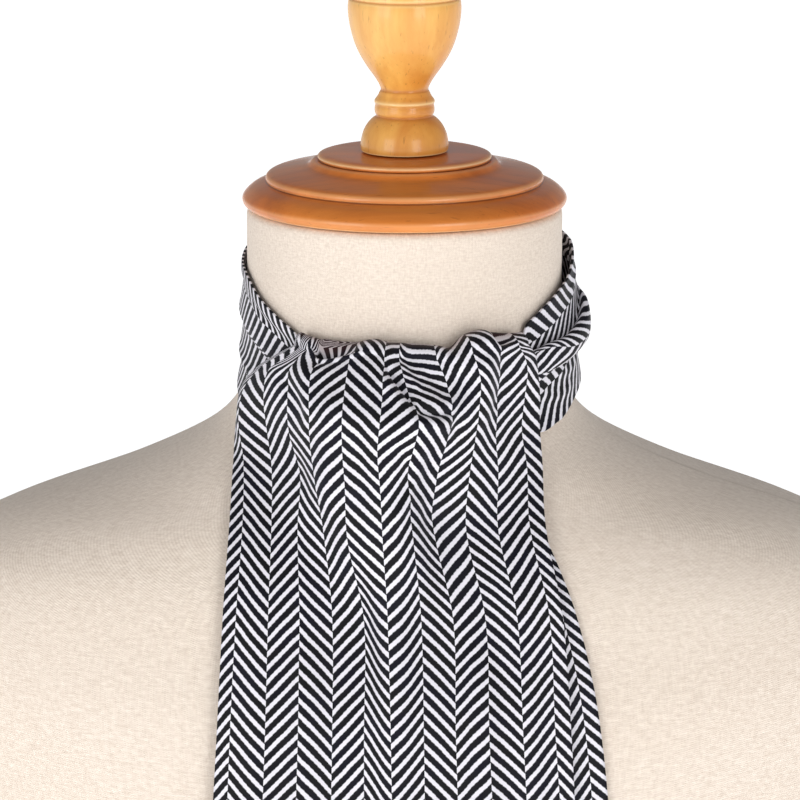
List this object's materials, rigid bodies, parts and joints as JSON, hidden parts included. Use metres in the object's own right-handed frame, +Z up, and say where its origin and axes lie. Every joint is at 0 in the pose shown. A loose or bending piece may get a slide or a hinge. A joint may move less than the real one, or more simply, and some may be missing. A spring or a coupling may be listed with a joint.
{
  "type": "day cravat on a tabletop dress form",
  "caption": "Herringbone day cravat tied loosely round a linen neck form with a turned wooden cap, its blade hanging to a point on the chest.",
  "frame": {"origin": "centre of the dress form's flat base, under the axis of the neck", "axes": "+Z up along the neck; the front of the cravat faces -Y; +X is to the right of a viewer in front of it"},
  "size_m": [0.4112, 0.242, 0.615],
  "materials": {
    "cravat_cloth": "black and white herringbone jacquard with a soft satin sheen",
    "form_linen": "plain woven natural linen",
    "turned_wood": "honey varnish, glossy"
  },
  "bodies": {
    "root": {"front_blade": "cravat_cloth", "under_blade": "cravat_cloth", "left_stretch": "cravat_cloth", "right_stretch": "cravat_cloth", "neckband": "cravat_cloth", "form_torso": "form_linen", "neck_cap": "turned_wood", "finial": "turned_wood"}
  },
  "joints": []
}
